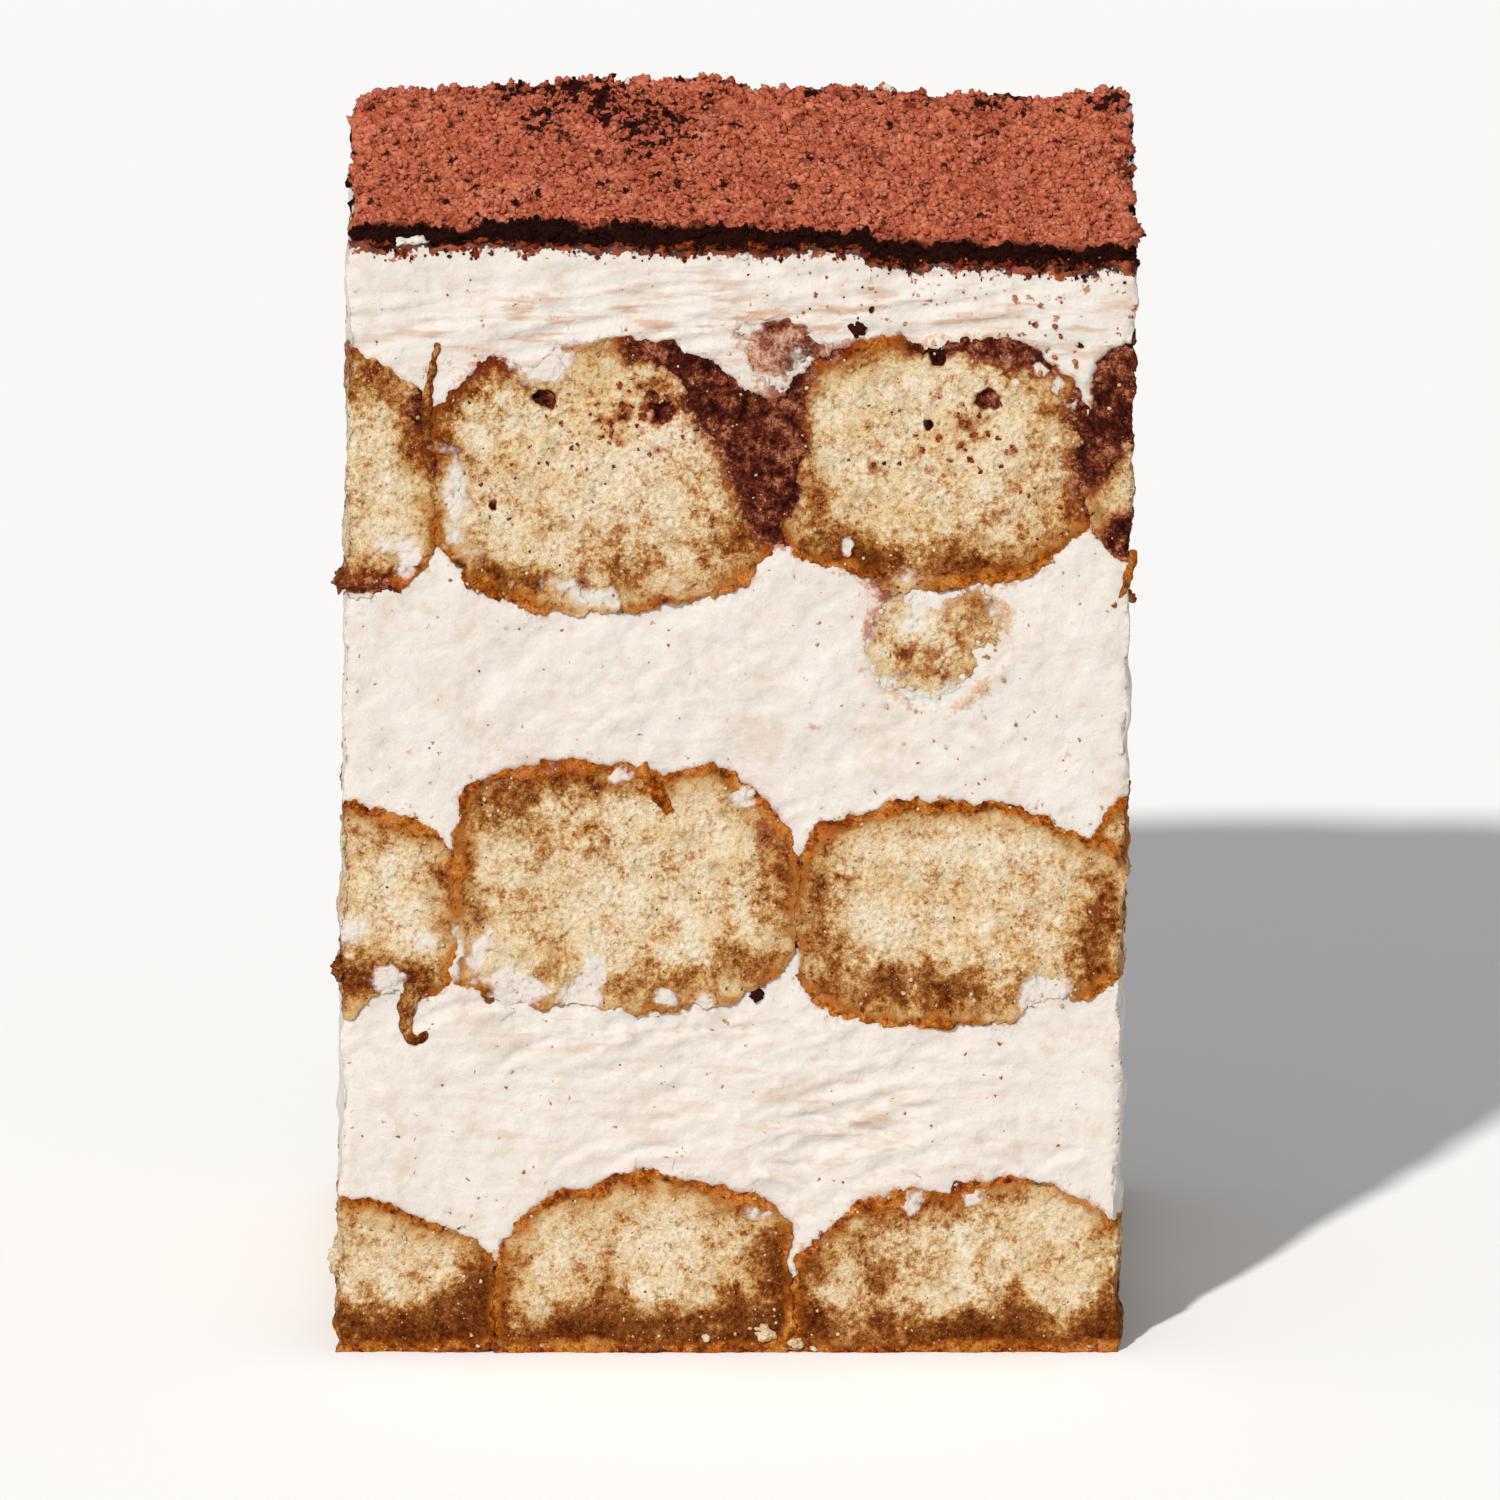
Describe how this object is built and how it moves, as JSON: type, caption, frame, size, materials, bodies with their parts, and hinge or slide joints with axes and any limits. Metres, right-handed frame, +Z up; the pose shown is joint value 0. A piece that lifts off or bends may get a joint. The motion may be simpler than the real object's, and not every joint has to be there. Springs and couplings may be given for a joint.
{
  "type": "tiramisu portion",
  "caption": "Upright block of layered dessert: rows of coffee-soaked sponge fingers between thick cream layers, with a cocoa-dusted top and freshly cut sides.",
  "frame": {"origin": "middle of the flat base that the portion stands on", "axes": "+Z up through the layers, -Y out of the front cut, which crosses the sponge fingers, +X to the right seen from the front"},
  "size_m": [0.0662, 0.06, 0.0969],
  "materials": {
    "sponge": "pale, open sponge crumb that browns towards an amber, coffee-soaked crust",
    "soaked_sponge": "sponge soaked dark burgundy-brown with coffee, damp and slightly glossy",
    "cream": "off-white whipped cream, soft satin, torn and wrinkled by the knife",
    "cocoa": "dry red-brown cocoa powder in small clumps, with darker damp patches"
  },
  "bodies": {
    "root": {"finger_bottom_left": "sponge", "finger_bottom_mid": "sponge", "finger_bottom_right": "sponge", "finger_middle_left": "sponge", "finger_middle_mid": "sponge", "finger_middle_right": "sponge", "finger_middle_edge": "sponge", "finger_top_left": "sponge", "finger_top_mid": "sponge", "finger_top_right": "sponge", "torn_sponge_lump": "sponge", "coffee_stained_lump": "sponge", "finger_top_edge": "soaked_sponge", "soaked_seam": "soaked_sponge", "cream_lower": "cream", "cream_middle": "cream", "cream_top": "cream", "cocoa_layer": "cocoa"}
  },
  "joints": []
}
